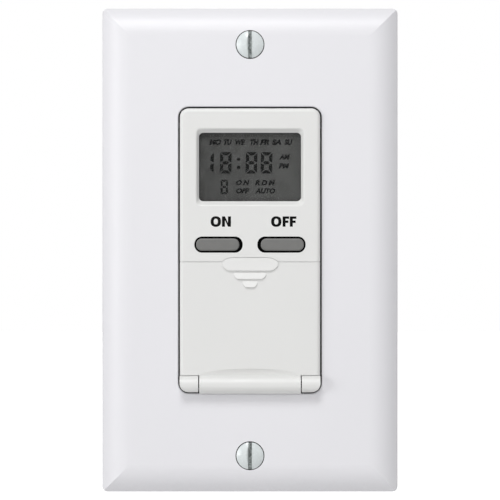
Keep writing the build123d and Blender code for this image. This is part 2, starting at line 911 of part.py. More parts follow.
def battery_contact_positive():
    reach = cell_y + cell_radius + seat_gap + contact_thickness / 2
    return bent_strip([(contact_y, contact_top), (contact_y, contact_z), (reach, contact_z),
                       (reach, cell_z)], contact_thickness, contact_width)


def battery_contact_negative():
    touch = cell_z + cell_height / 2 + contact_thickness / 2 + seat_gap
    return bent_strip([(contact_y, contact_top), (contact_y, contact_z), (cell_y - spring_foot, contact_z),
                       (cell_y, touch), (cell_y + spring_foot, touch + spring_rise)],
                      contact_thickness, contact_width, negative_x)


# Rear case: a box open to the front, with side pockets for the terminals, bosses, posts and drawer rails
def rear_case():
    case = tile(case_width, case_depth, case_height, case_wall + case_inner_corner)
    case = fillet(case.faces().sort_by(Axis.Y)[-1].edges(), case_back_edge)
    case -= tile(case_width - 2 * case_panel_margin, case_panel_depth, case_height - 2 * case_panel_margin,
                 case_panel_corner, front=case_depth - case_panel_depth)
    case -= tile(2 * case_inside_x, case_inside_y + overrun, 2 * case_inside_z, case_inner_corner,
                 front=-overrun)
    for side, end in corner_signs:
        case += post(case_boss_radius, case_boss_depth, side * case_screw_x, 0, end * case_screw_z)
    for x, z in spacer_places:
        case += post(case_post_radius, case_inside_y - power_back, x, power_back, z)
    for side, z in terminal_places:
        shell_depth = pocket_size + 2 * case_wall
        shell_front = terminal_y - shell_depth / 2
        shell_x = side * (pocket_floor - case_wall + case_width / 2 - case_wall / 2) / 2
        case += slab(case_width / 2 - pocket_floor + case_wall / 2, shell_depth, shell_depth, shell_x,
                     shell_front, z)
        case -= slab(pocket_depth + overrun, pocket_size, pocket_size,
                     side * (pocket_floor + (pocket_depth + overrun) / 2), terminal_y - pocket_size / 2, z)
        case -= slab(terminal_thickness + 2 * seat_gap, pocket_size, tail_width + 2 * seat_gap,
                     side * (pocket_floor + terminal_thickness / 2), terminal_y, z)
        case -= rod(terminal_shank_radius + seat_gap, 2 * terminal_shank_reach,
                    side * (pocket_floor + terminal_thickness), terminal_y, z)
    rail_low = -case_inside_z
    for side in side_signs:
        rail_x = side * (tray_width / 2 + slip_gap + rail_thickness / 2)
        case += slab(rail_thickness, rail_depth, drawer_z - rail_low, rail_x, 0, (drawer_z + rail_low) / 2)
        shelf_top = drawer_z - tray_height / 2 - slip_gap
        case += slab(rail_thickness, rail_depth, shelf_top - rail_low, side * tray_width / 4, 0,
                     (shelf_top + rail_low) / 2)
    for side, end in corner_signs:
        case -= post(case_shank_radius + press_gap, case_screw_length + seat_gap, side * case_screw_x, 0,
                     end * case_screw_z)
    return case


# Screw terminals: a brass plate on the floor of each pocket, its tail through the power board
def terminal_plates():
    plates = []
    for side, z in terminal_places:
        x = side * (pocket_floor + terminal_thickness / 2)
        plate = slab(terminal_thickness, terminal_size, terminal_size, x, terminal_y - terminal_size / 2, z)
        plate += slab(terminal_thickness, power_back - terminal_y, tail_width, x, terminal_y, z)
        plates.append(plate - rod(terminal_shank_radius + press_gap, 2 * pocket_depth, x, terminal_y, z))
    return group(plates)


def terminal_screws():
    screw = pan_screw(terminal_head_radius, terminal_head_height, terminal_shank_radius,
                      terminal_shank_reach, driver_slot)
    return group(Pos(side * (pocket_floor + terminal_thickness), terminal_y, z) * Rot(0, 0, side * 90)
                 * screw for side, z in terminal_places)


# Relay, built up from its base on the power board towards the front
def relay_base():
    room = 2 * (cover_wall + seat_gap)
    return slab(relay_width - room, relay_base_thickness, relay_height - room, 0, base_front, relay_z)


def relay_cover():
    depth = relay_depth - seat_gap
    cover = slab(relay_width, depth, relay_height, 0, relay_front, relay_z)
    cover = fillet(front_edges(cover), cover_edge)
    return cover - slab(relay_width - 2 * cover_wall, depth, relay_height - 2 * cover_wall, 0,
                        relay_front + cover_wall, relay_z)


def relay_yoke():
    foot_width = yoke_limb_x + yoke_thickness / 2 - core_x + coil_radius
    foot_x = yoke_limb_x + yoke_thickness / 2 - foot_width / 2
    foot = slab(foot_width, yoke_thickness, yoke_width, foot_x, base_front - yoke_thickness, relay_z)
    limb = slab(yoke_thickness, base_front - armature_back, yoke_width, yoke_limb_x, armature_back, relay_z)
    return foot + limb


def relay_core():
    core_back = base_front - yoke_thickness
    core = post(core_radius, core_back - pole_front, core_x, pole_front, relay_z)
    return core + post(pole_radius, pole_thickness, core_x, pole_front, relay_z)


def relay_coil():
    front = pole_front + pole_thickness + seat_gap
    depth = base_front - yoke_thickness - seat_gap - front
    coil = post(coil_radius, depth, core_x, front, relay_z)
    return coil - post(core_radius + seat_gap, depth, core_x, front, relay_z)


def relay_armature():
    right = yoke_limb_x + yoke_thickness / 2
    return slab(right + armature_end, armature_thickness, yoke_width, (right - armature_end) / 2, armature_y,
                relay_z)


def relay_moving_contact():
    left = contact_x - contact_radius
    leaf = slab(leaf_grip, leaf_thickness, leaf_width, left + leaf_grip / 2, armature_y - leaf_thickness,
                relay_z)
    rivet_front = armature_y - leaf_thickness - rivet_height
    return leaf + post(contact_radius, 2 * rivet_height + leaf_thickness, contact_x, rivet_front, relay_z)


def relay_fixed_contacts():
    limb_x = contact_x - contact_radius - terminal_strip / 2
    open_front = contact_back + contact_travel
    open_tab = open_front + rivet_height
    working = post(contact_radius, rivet_height, contact_x, open_front, relay_z)
    working += slab(2 * contact_radius, terminal_strip, strip_width, contact_x, open_tab, relay_z)
    working += slab(terminal_strip, base_front - open_tab, strip_width, limb_x, open_tab, relay_z)
    rest_back = armature_y - leaf_thickness - rivet_height - seat_gap
    rest_tab = rest_back - rivet_height - terminal_strip
    limb_z = relay_z + relay_height / 2 - cover_wall - slip_gap - terminal_strip / 2
    tab_low = relay_z - strip_width / 2
    resting = post(contact_radius, rivet_height, contact_x, rest_back - rivet_height, relay_z)
    resting += slab(strip_width, terminal_strip, limb_z + terminal_strip / 2 - tab_low, contact_x, rest_tab,
                    (limb_z + terminal_strip / 2 + tab_low) / 2)
    resting += slab(strip_width, base_front - rest_tab, terminal_strip, contact_x, rest_tab, limb_z)
    return group([working, resting])


# Chips and other parts on the back of the logic board
def controller_chip():
    chip = slab(chip_size, chip_height, chip_size, 0, logic_back, chip_z)
    return chamfer(chip.faces().sort_by(Axis.Y)[-1].edges(), chip_edge)


def clock_crystal():
    return rod(crystal_radius, crystal_length, crystal_x, logic_back + crystal_radius, crystal_z)


def chip_resistors():
    first = -(resistor_count - 1) * resistor_pitch / 2
    return group(slab(resistor_length, resistor_height, resistor_width, first + index * resistor_pitch,
                      logic_back, resistor_z) for index in range(resistor_count))


def pin_places():
    first = header_x - (pin_count - 1) * pin_pitch / 2
    return [first + index * pin_pitch for index in range(pin_count)]


def board_socket():
    socket = slab(pin_count * pin_pitch, socket_depth, pin_pitch, header_x, logic_back, header_z)
    room = pin_size + 2 * pin_room
    for x in pin_places():
        socket -= slab(room, pin_dip + seat_gap, room, x, logic_back + socket_depth - pin_dip - seat_gap,
                       header_z)
    return socket


def board_header():
    header = slab(pin_count * pin_pitch, header_height, pin_pitch, header_x, power_front - header_height,
                  header_z)
    pin_front = logic_back + socket_depth - pin_dip
    for x in pin_places():
        header += slab(pin_size, power_front - pin_front, pin_size, x, pin_front, header_z)
    return header


# Supply parts on the front of the power board
def dropper_capacitor():
    block = slab(film_width, film_depth, film_height, film_x, power_front - film_depth, film_z)
    return fillet(front_edges(block), film_edge)


def smoothing_capacitor():
    can = post(smoothing_radius, smoothing_depth, smoothing_x, power_front - smoothing_depth, smoothing_z)
    return fillet(front_edges(can), smoothing_edge)


def surge_varistor():
    centre_y = power_front - lead_rise - varistor_radius
    disc = Pos(varistor_x, centre_y, varistor_z) * Cylinder(varistor_radius, varistor_thickness)
    disc = fillet(disc.edges().filter_by(GeomType.CIRCLE), varistor_edge)
    for side in side_signs:
        disc += post(lead_radius, lead_rise + varistor_radius, varistor_x + side * lead_pitch / 2, centre_y,
                     varistor_z)
    return disc


def rectifier_diodes():
    diodes = []
    middle = power_front - diode_radius - seat_gap
    for index in range(diode_count):
        z = diode_z - index * diode_pitch
        diode = rod(diode_radius, diode_length, diode_x, middle, z)
        diode += rod(lead_radius, diode_span, diode_x, middle, z)
        for side in side_signs:
            diode += post(lead_radius, power_front - middle, diode_x + side * (diode_span / 2 - lead_radius),
                          middle, z)
        diodes.append(diode)
    return group(diodes)


save("wall_plate", wall_plate())
save("plate_screws", plate_screws())
save("mounting_strap", mounting_strap())
save("mounting_screws", mounting_screws())
save("screw_washers", screw_washers())
save("ground_screw", ground_screw())
save("front_bezel", front_bezel())
save("case_screws", case_screws())
save("display_lens", display_lens())
save("lcd_front_glass", lcd_front_glass())
save("lcd_rear_glass", lcd_rear_glass())
save("lcd_reflector", lcd_reflector())
save("lcd_holder", lcd_holder())
save("lcd_connector_strips", lcd_connector_strips())
for name, place in button_places.items():
    save(f"{name}_button", button(*place))
    save(f"{name}_plunger", plunger(*place))
for name, place in key_places.items():
    save(f"{name}_key", program_key(*place))
    save(f"{name}_plunger", plunger(*place))
save("reset_key", reset_key())
save("reset_plunger", plunger(0, reset_z))
save("key_switches", group(key_switch(*place) for place in switch_places))
save("door", door())
save("hinge_pin", hinge_pin())
save("logic_board", logic_board())
save("power_board", power_board())
save("board_spacers", board_spacers())
save("board_screws", board_screws())
save("battery_drawer", battery_drawer())
save("coin_cell", coin_cell())
save("battery_contact_positive", battery_contact_positive())
save("battery_contact_negative", battery_contact_negative())
save("rear_case", rear_case())
save("terminal_plates", terminal_plates())
save("terminal_screws", terminal_screws())
save("relay_base", relay_base())
save("relay_cover", relay_cover())
save("relay_yoke", relay_yoke())
save("relay_core", relay_core())
save("relay_coil", relay_coil())
save("relay_armature", relay_armature())
save("relay_moving_contact", relay_moving_contact())
save("relay_fixed_contacts", relay_fixed_contacts())
save("controller_chip", controller_chip())
save("clock_crystal", clock_crystal())
save("chip_resistors", chip_resistors())
save("board_socket", board_socket())
save("board_header", board_header())
save("dropper_capacitor", dropper_capacitor())
save("smoothing_capacitor", smoothing_capacitor())
save("surge_varistor", surge_varistor())
save("rectifier_diodes", rectifier_diodes())
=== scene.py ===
import math

import bmesh
import bpy
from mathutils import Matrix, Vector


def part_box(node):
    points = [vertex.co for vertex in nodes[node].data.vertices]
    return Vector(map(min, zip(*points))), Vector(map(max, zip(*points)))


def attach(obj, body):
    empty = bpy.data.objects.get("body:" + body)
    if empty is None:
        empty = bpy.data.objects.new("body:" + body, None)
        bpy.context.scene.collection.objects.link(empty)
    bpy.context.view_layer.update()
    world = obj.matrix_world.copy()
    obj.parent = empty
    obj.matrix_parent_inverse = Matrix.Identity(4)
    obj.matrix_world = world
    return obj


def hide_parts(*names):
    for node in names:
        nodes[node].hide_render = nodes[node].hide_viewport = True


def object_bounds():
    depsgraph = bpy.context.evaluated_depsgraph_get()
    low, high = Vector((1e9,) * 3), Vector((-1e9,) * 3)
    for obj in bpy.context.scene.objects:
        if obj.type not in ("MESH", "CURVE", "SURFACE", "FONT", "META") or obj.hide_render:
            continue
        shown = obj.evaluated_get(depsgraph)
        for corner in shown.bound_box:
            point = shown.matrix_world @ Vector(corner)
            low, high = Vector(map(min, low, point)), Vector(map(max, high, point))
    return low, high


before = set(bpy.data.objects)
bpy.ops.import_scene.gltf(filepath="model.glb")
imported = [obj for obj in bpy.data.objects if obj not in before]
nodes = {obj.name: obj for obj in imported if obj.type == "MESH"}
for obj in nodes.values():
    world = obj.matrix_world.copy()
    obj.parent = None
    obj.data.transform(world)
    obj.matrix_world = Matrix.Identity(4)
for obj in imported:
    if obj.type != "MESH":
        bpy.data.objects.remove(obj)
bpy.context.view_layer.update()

mm = 0.001


# The camera stands square in front of the plate, level with its middle and about 0.6 m away, with a long
# lens, so that the sides of the plate stay parallel.
camera_data = bpy.data.cameras.new("photo_camera")
camera_data.sensor_width = 36.0
camera_data.lens = 182.0
camera_data.clip_start = 0.01
camera = bpy.data.objects.new("photo_camera", camera_data)
camera.location = (0.0, -600.6 * mm, 0.03 * mm)
camera.rotation_euler = (math.radians(90), 0.0, 0.0)
bpy.context.scene.collection.objects.link(camera)
bpy.context.scene.camera = camera


# The wall plate is one moulding in glossy white thermoplastic. Its border falls away in a curve and is
# mitred at the corners. Two screws hold it. The gap round the device lets in little light, so the walls of
# the opening and a thin ring round each screw head are painted near-black as painted shade.
def add_node(tree, kind, inputs=None, **settings):
    node = tree.nodes.new(kind)
    for name, value in settings.items():
        setattr(node, name, value)
    for name, value in (inputs or {}).items():
        if isinstance(value, bpy.types.NodeSocket):
            tree.links.new(value, node.inputs[name])
        else:
            node.inputs[name].default_value = value
    return node


def calc(tree, operation, first, second=0.0):
    return add_node(tree, "ShaderNodeMath", {0: first, 1: second}, operation=operation).outputs[0]


def ramp(tree, value, start, end, low, high):
    inputs = {"Value": value, "From Min": start, "From Max": end, "To Min": low, "To Max": high}
    return add_node(tree, "ShaderNodeMapRange", inputs).outputs[0]


def mix_colours(tree, share, first, second):
    mix = add_node(tree, "ShaderNodeMix", {0: share}, data_type="RGBA")
    for socket, colour in ((mix.inputs[6], first), (mix.inputs[7], second)):
        if isinstance(colour, bpy.types.NodeSocket):
            tree.links.new(colour, socket)
        else:
            socket.default_value = (*colour, 1.0)
    return mix.outputs[2]


def object_place(tree, stretch=(1.0, 1.0, 1.0)):
    place = add_node(tree, "ShaderNodeTexCoord").outputs["Object"]
    return add_node(tree, "ShaderNodeMapping", {"Vector": place, "Scale": stretch}).outputs[0]


def cloud(tree, size, detail=2.0, stretch=(1.0, 1.0, 1.0)):
    inputs = {"Vector": object_place(tree, stretch), "Scale": 1.0 / size, "Detail": detail}
    return add_node(tree, "ShaderNodeTexNoise", inputs).outputs[0]


def new_finish(name, **values):
    finish = bpy.data.materials.new(name)
    finish.use_nodes = True
    shader = finish.node_tree.nodes["Principled BSDF"]
    for key, value in values.items():
        socket = shader.inputs[key.replace("_", " ")]
        socket.default_value = (*value, 1.0) if isinstance(value, tuple) else value
    return finish, finish.node_tree, shader


def dress(finish, *names):
    for name in names:
        nodes[name].data.materials.clear()
        nodes[name].data.materials.append(finish)


def feed(tree, shader, name, output):
    tree.links.new(output, shader.inputs[name])


def relief(tree, shader, height, depth, strength=1.0):
    bump = add_node(tree, "ShaderNodeBump", {"Height": height, "Distance": depth, "Strength": strength})
    feed(tree, shader, "Normal", bump.outputs[0])


def rectangle_distance(tree, half_width, half_height):
    axes = add_node(tree, "ShaderNodeSeparateXYZ", {0: object_place(tree)})
    across = calc(tree, "SUBTRACT", calc(tree, "ABSOLUTE", axes.outputs[0]), half_width)
    upward = calc(tree, "SUBTRACT", calc(tree, "ABSOLUTE", axes.outputs[2]), half_height)
    return calc(tree, "MAXIMUM", across, upward), axes.outputs[1]


# Share of painted shade: on one side of a rectangle, rising with depth behind the given face.
def painted_shade_share(tree, edge, depth, full_depth, outward):
    distance, back = edge
    side = calc(tree, "GREATER_THAN" if outward else "LESS_THAN", distance, 0.0)
    return calc(tree, "MULTIPLY", side, ramp(tree, back, depth, full_depth, 0.0, 1.0))


plate_white = (0.775, 0.77, 0.795)
plate_cool = (0.755, 0.75, 0.78)
painted_shade_black = (0.004, 0.004, 0.004)
plate_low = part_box("wall_plate")[0]
opening_half_x = 16.95 * mm
opening_half_z = 33.8 * mm
gap_start = 0.15 * mm
gap_full = 0.5 * mm
screw_low, screw_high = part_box("plate_screws")
screw_head_radius = 3.2 * mm
screw_z = (screw_high.z - screw_low.z) / 2 - screw_head_radius
seat_radius = screw_head_radius + 0.2 * mm

plate_finish, tree, shader = new_finish("plate_gloss_white", Specular_IOR_Level=0.35, IOR=1.5)
# painted shade: the walls of the opening turn near-black with depth, where shade falls in the gap
opening_shade = painted_shade_share(tree, rectangle_distance(tree, opening_half_x, opening_half_z),
                          plate_low.y + gap_start, plate_low.y + gap_full, False)
axes = add_node(tree, "ShaderNodeSeparateXYZ", {0: object_place(tree)})
from_screw = calc(tree, "SUBTRACT", calc(tree, "ABSOLUTE", axes.outputs[2]), screw_z)
radial = calc(tree, "SQRT", calc(tree, "ADD", calc(tree, "MULTIPLY", axes.outputs[0], axes.outputs[0]),
                                 calc(tree, "MULTIPLY", from_screw, from_screw)))
# painted shade: a thin near-black ring round each screw head, standing for the shade in its countersink
seat_shade = calc(tree, "LESS_THAN", radial, seat_radius)
shade = calc(tree, "MAXIMUM", opening_shade, seat_shade)
body = mix_colours(tree, cloud(tree, 40 * mm), plate_white, plate_cool)
feed(tree, shader, "Base Color", mix_colours(tree, shade, body, painted_shade_black))
feed(tree, shader, "Roughness", ramp(tree, cloud(tree, 0.9 * mm, 2.0), 0.3, 0.7, 0.34, 0.4))
relief(tree, shader, cloud(tree, 0.5 * mm, 1.0), 0.001 * mm)
dress(plate_finish, "wall_plate")


# Screws of the plate: steel with an oval head under thin white enamel, worn to a darker metal at the mouth
# of the slot. Inside the slot the colour is painted near-black as painted shade.
# The thread runs up to the head. It is cut in turns of equal pitch and ends in a blunt point.
def thread_tree(finish):
    tree = bpy.data.node_groups.new("screw_thread", "GeometryNodeTree")
    face = tree.interface
    face.new_socket("Places", in_out="INPUT", socket_type="NodeSocketGeometry")
    for name in ("Root Radius", "Ridge Height", "Pitch", "Length"):
        face.new_socket(name, in_out="INPUT", socket_type="NodeSocketFloat")
    for name in ("Steps Round", "Rings"):
        face.new_socket(name, in_out="INPUT", socket_type="NodeSocketInt")
    face.new_socket("Threads", in_out="OUTPUT", socket_type="NodeSocketGeometry")
    given = tree.nodes.new("NodeGroupInput").outputs
    grid = add_node(tree, "GeometryNodeMeshGrid", {"Size X": 1.0, "Size Y": 1.0})
    tree.links.new(given["Steps Round"], grid.inputs["Vertices X"])
    tree.links.new(given["Rings"], grid.inputs["Vertices Y"])
    flat_place = tree.nodes.new("GeometryNodeInputPosition").outputs[0]
    spot = add_node(tree, "ShaderNodeSeparateXYZ", {0: flat_place})
    around = calc(tree, "ADD", spot.outputs[0], 0.5)
    along = calc(tree, "ADD", spot.outputs[1], 0.5)
    depth = calc(tree, "MULTIPLY", along, given["Length"])
    turns = calc(tree, "SUBTRACT", calc(tree, "DIVIDE", depth, given["Pitch"]), around)
    wave = calc(tree, "MULTIPLY", calc(tree, "PINGPONG", turns, 0.5), 2.0)
    crest = ramp(tree, wave, 0.1, 0.85, 0.0, 1.0)
    fade = ramp(tree, along, 0.86, 0.98, 1.0, 0.2)
    ridge = calc(tree, "MULTIPLY", calc(tree, "MULTIPLY", crest, fade), given["Ridge Height"])
    inside = calc(tree, "MULTIPLY", calc(tree, "GREATER_THAN", along, 0.0001),
                  calc(tree, "LESS_THAN", along, 0.9999))
    blunt = ramp(tree, along, 0.9, 1.0, 1.0, 0.78)
    root = calc(tree, "MULTIPLY", given["Root Radius"], blunt)
    radius = calc(tree, "MULTIPLY", calc(tree, "ADD", root, ridge), inside)
    angle = calc(tree, "MULTIPLY", around, math.tau)
    place = add_node(tree, "ShaderNodeCombineXYZ", {
        0: calc(tree, "MULTIPLY", radius, calc(tree, "COSINE", angle)),
        1: depth,
        2: calc(tree, "MULTIPLY", radius, calc(tree, "SINE", angle)),
    })
    shaped = add_node(tree, "GeometryNodeSetPosition", {"Geometry": grid.outputs["Mesh"],
                                                        "Position": place.outputs[0]})
    closed = add_node(tree, "GeometryNodeMergeByDistance", {"Geometry": shaped.outputs[0],
                                                            "Distance": 0.0005 * mm})
    outward = add_node(tree, "GeometryNodeFlipFaces", {"Mesh": closed.outputs[0]})
    smooth = add_node(tree, "GeometryNodeSetShadeSmooth", {"Geometry": outward.outputs[0]})
    spread = add_node(tree, "GeometryNodeInstanceOnPoints", {"Points": given["Places"],
                                                             "Instance": smooth.outputs[0]})
    real = add_node(tree, "GeometryNodeRealizeInstances", {0: spread.outputs[0]})
    coated = add_node(tree, "GeometryNodeSetMaterial", {"Geometry": real.outputs[0], "Material": finish})
    tree.links.new(coated.outputs[0], tree.nodes.new("NodeGroupOutput").inputs[0])
    return tree


def evaluated_mesh(name, base, tree, **values):
    source = bpy.data.objects.new(name, base)
    bpy.context.scene.collection.objects.link(source)
    modifier = source.modifiers.new("shape", "NODES")
    modifier.node_group = tree
    sockets = {item.name: item.identifier for item in tree.interface.items_tree if item.in_out == "INPUT"}
    for key, value in values.items():
        modifier[sockets[key.replace("_", " ")]] = value
    shaped = source.evaluated_get(bpy.context.evaluated_depsgraph_get())
    mesh = bpy.data.meshes.new_from_object(shaped)
    bpy.data.objects.remove(source)
    return mesh


def add_piece(name, mesh, body, slot, *replaced):
    mesh.name = name
    piece = bpy.data.objects.new(name, mesh)
    bpy.context.scene.collection.objects.link(piece)
    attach(piece, body)
    if replaced:
        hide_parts(*replaced)
    return piece


def front_part(node, limit):
    shape = bmesh.new()
    shape.from_mesh(nodes[node].data)
    bmesh.ops.remove_doubles(shape, verts=shape.verts, dist=0.001 * mm)
    everything = shape.verts[:] + shape.edges[:] + shape.faces[:]
    cut = bmesh.ops.bisect_plane(shape, geom=everything, plane_co=(0, limit, 0), plane_no=(0, 1, 0),
                                 clear_outer=True)
    rims = [item for item in cut["geom_cut"] if isinstance(item, bmesh.types.BMEdge)]
    bmesh.ops.holes_fill(shape, edges=rims, sides=0)
    bmesh.ops.recalc_face_normals(shape, faces=shape.faces)
    return shape


def sharpen(shape, limit):
    for face in shape.faces:
        face.smooth = True
    for edge in shape.edges:
        edge.smooth = len(edge.link_faces) == 2 and edge.calc_face_angle(0.0) < math.radians(limit)


thread_root = 1.38 * mm
thread_ridge = 0.37 * mm
thread_pitch = 0.794 * mm
rings_per_turn = 8
crease_angle = 32


def threaded_screws(name, node, slot, limit, start, finish, spots, length):
    places = bpy.data.meshes.new(f"{name}_places")
    places.from_pydata([(x, start, z) for x, z in spots], [], [])
    threads = evaluated_mesh(f"{name}_threads", places, thread_tree(finish), Root_Radius=thread_root,
                             Ridge_Height=thread_ridge, Pitch=thread_pitch, Length=length, Steps_Round=33,
                             Rings=round(length / thread_pitch * rings_per_turn))
    shape = front_part(node, limit)
    sharpen(shape, crease_angle)
    shape.from_mesh(threads)
    for face in shape.faces:
        face.material_index = 0
    mesh = bpy.data.meshes.new(name)
    shape.to_mesh(mesh)
    shape.free()
    mesh.materials.append(finish)
    add_piece(name, mesh, "timer", slot, node)


enamel = (0.66, 0.70, 0.705)
slot_shade_grey = (0.05, 0.06, 0.06)
burr_grey = (0.42, 0.46, 0.45)
slot_half = 0.42 * mm
mouth_half = 0.95 * mm
head_depth = 1.7 * mm
head_overlap = 0.02 * mm
slot_depth = 1.0 * mm
thread_start = plate_low.y + head_depth
thread_length = screw_high.y - thread_start

screw_finish, tree, shader = new_finish("screw_enamel", Roughness=0.22, IOR=1.5, Coat_Weight=0.3,
                                        Coat_Roughness=0.08)
axes = add_node(tree, "ShaderNodeSeparateXYZ", {0: object_place(tree)})
across = calc(tree, "ABSOLUTE", axes.outputs[0])
in_mouth = ramp(tree, across, slot_half, mouth_half, 1.0, 0.0)
in_slot = calc(tree, "LESS_THAN", across, slot_half)
ahead = calc(tree, "LESS_THAN", axes.outputs[1], plate_low.y + slot_depth)
scuffed = ramp(tree, cloud(tree, 0.35 * mm, 4.0), 0.35, 0.65, 0.1, 0.55)
worn = mix_colours(tree, calc(tree, "MULTIPLY", calc(tree, "MULTIPLY", in_mouth, ahead), scuffed), enamel,
                   burr_grey)
slot_mottle = ramp(tree, cloud(tree, 0.6 * mm, 4.0), 0.35, 0.7, 0.0, 1.0)
# painted shade: the inside of the slot is near-black, mottled with the darker metal of the burr
slot_painted_shade = mix_colours(tree, slot_mottle, slot_shade_grey, burr_grey)
feed(tree, shader, "Base Color",
     mix_colours(tree, calc(tree, "MULTIPLY", in_slot, ahead), worn, slot_painted_shade))
feed(tree, shader, "Roughness", ramp(tree, cloud(tree, 0.8 * mm, 4.0), 0.3, 0.7, 0.16, 0.34))
relief(tree, shader, cloud(tree, 0.6 * mm, 3.0), 0.012 * mm)
threaded_screws("oval_screws", "plate_screws", "painted_screw", thread_start + head_overlap, thread_start,
                screw_finish, [(0, screw_z), (0, -screw_z)], thread_length)


# The strap is rolled sheet steel with a bright zinc plating. It carries the whole device, and its ends
# reach over the plaster. Rolling leaves fine lines along it, and the plating has a faint mottle.
zinc_bright = (0.66, 0.67, 0.68)
zinc_dull = (0.50, 0.51, 0.53)
strap_finish, tree, shader = new_finish("rolled_zinc", Metallic=1.0, Roughness=0.38)
lines = cloud(tree, 0.25 * mm, 3.0, (1.0, 1.0, 0.03))
mottle = cloud(tree, 5 * mm, 4.0)
feed(tree, shader, "Base Color", mix_colours(tree, mottle, zinc_bright, zinc_dull))
feed(tree, shader, "Roughness", ramp(tree, calc(tree, "ADD", lines, mottle), 0.7, 1.3, 0.28, 0.5))
relief(tree, shader, lines, 0.006 * mm)
dress(strap_finish, "mounting_strap")


# The box screws are plain zinc-plated steel with slotted pan heads and the same coarse thread. A keeper
# washer of pressed red fibre behind the strap stops each of them from falling out before it is fitted.
zinc_finish, tree, shader = new_finish("plated_screw", Metallic=1.0, Roughness=0.3)
mottle = cloud(tree, 1.5 * mm, 4.0)
feed(tree, shader, "Base Color", mix_colours(tree, mottle, zinc_bright, zinc_dull))
feed(tree, shader, "Roughness", ramp(tree, mottle, 0.3, 0.7, 0.22, 0.42))
relief(tree, shader, cloud(tree, 0.4 * mm, 3.0), 0.006 * mm)
dress(zinc_finish, "case_screws", "board_screws")
box_low, box_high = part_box("mounting_screws")
neck_end = 0.7 * mm
pan_head_radius = 3.5 * mm
box_screw_z = (box_high.z - box_low.z) / 2 - pan_head_radius
threaded_screws("box_screws", "mounting_screws", "zinc_screw", neck_end, neck_end, zinc_finish,
                [(0, box_screw_z), (0, -box_screw_z)], box_high.y - neck_end)

fibre_finish, tree, shader = new_finish("pressed_fibre", Roughness=0.85)
flecks = cloud(tree, 0.5 * mm, 5.0, (1.0, 1.0, 0.4))
feed(tree, shader, "Base Color", mix_colours(tree, flecks, (0.26, 0.055, 0.03), (0.42, 0.12, 0.06)))
relief(tree, shader, flecks, 0.03 * mm)
dress(fibre_finish, "screw_washers")


# The grounding screw is dyed green, as such screws are, so that its place can't be mistaken. The dye sits
# in the plating and is thin in random patches.
ground_finish, tree, shader = new_finish("green_dye", Metallic=0.75, Roughness=0.32)
thin = ramp(tree, cloud(tree, 0.9 * mm, 4.0), 0.35, 0.75, 0.0, 0.55)
feed(tree, shader, "Base Color", mix_colours(tree, thin, (0.02, 0.22, 0.07), (0.16, 0.42, 0.22)))
relief(tree, shader, cloud(tree, 0.4 * mm, 3.0), 0.008 * mm)
dress(ground_finish, "ground_screw")


# The bezel and the door are moulded in one slightly warmer white with a fine satin skin. The outer walls
# of the bezel stand in the gap of the plate, where they are painted near-black as painted shade. The door
# swings out of it and stays white.
def satin_white(name):
    finish, tree, shader = new_finish(name, Roughness=0.42, IOR=1.5)
    body = mix_colours(tree, cloud(tree, 25 * mm), (0.735, 0.735, 0.722), (0.715, 0.715, 0.708))
    feed(tree, shader, "Base Color", body)
    feed(tree, shader, "Roughness", ramp(tree, cloud(tree, 4 * mm, 4.0), 0.3, 0.7, 0.36, 0.48))
    relief(tree, shader, cloud(tree, 0.22 * mm, 2.0), 0.005 * mm)
    return finish, tree, shader, body


face_proud = 1.3 * mm
face_front = plate_low.y - face_proud
wall_half_x = 16.3 * mm
wall_half_z = 33.15 * mm
bezel_finish, tree, shader, body = satin_white("bezel_satin_white")
# painted shade: near-black on the outer walls of the bezel behind the face of the plate
shade = painted_shade_share(tree, rectangle_distance(tree, wall_half_x, wall_half_z), plate_low.y,
                  plate_low.y + gap_start, True)
feed(tree, shader, "Base Color", mix_colours(tree, shade, body, painted_shade_black))
dress(bezel_finish, "front_bezel")
dress(satin_white("door_satin_white")[0], "door")


# The words above the two buttons are pad printed in black on the bezel. They are drawn here as the plate of
# the printer has them: a bold plain face with even stems.
def flat_shape(outlines, front):
    shape = bmesh.new()
    for outline in outlines:
        face = shape.faces.new([shape.verts.new((x, front, z)) for x, z in outline])
        face.normal_update()
        if face.normal.y > 0:
            face.normal_flip()
    return shape


def round_loop(middle_x, middle_z, half_width, half_height, squareness, steps):
    loop = []
    for step in range(steps):
        turn = math.tau * step / steps
        side, rise = math.cos(turn), math.sin(turn)
        loop.append((middle_x + half_width * math.copysign(abs(side) ** squareness, side),
                     middle_z + half_height * math.copysign(abs(rise) ** squareness, rise)))
    return loop


def letter_o(left, low, width, height, side_stroke, top_stroke, squareness=0.86, steps=48):
    middle_x, middle_z = left + width / 2, low + height / 2
    outer = round_loop(middle_x, middle_z, width / 2, height / 2, squareness, steps)
    inner = round_loop(middle_x, middle_z, width / 2 - side_stroke, height / 2 - top_stroke, squareness,
                       steps)
    return [[outer[step - 1], outer[step], inner[step], inner[step - 1]] for step in range(steps)]


def letter_n(left, low, width, height, stem, notch_share=0.37):
    right = left + width
    top = low + height
    notch = height * notch_share
    return [[(left, low), (left + stem, low), (left + stem, top - notch), (right - stem, low), (right, low),
             (right, top), (right - stem, top), (right - stem, low + notch), (left + stem, top), (left, top)]]


def letter_f(left, low, width, height, stem, bar, arm_share=0.6):
    right = left + width
    top = low + height
    arm_top = low + height * arm_share
    return [[(left, low), (left + stem, low), (left + stem, arm_top - bar),
             (right - bar / 3, arm_top - bar), (right - bar / 3, arm_top), (left + stem, arm_top),
             (left + stem, top - bar), (right, top - bar), (right, top), (left, top)]]


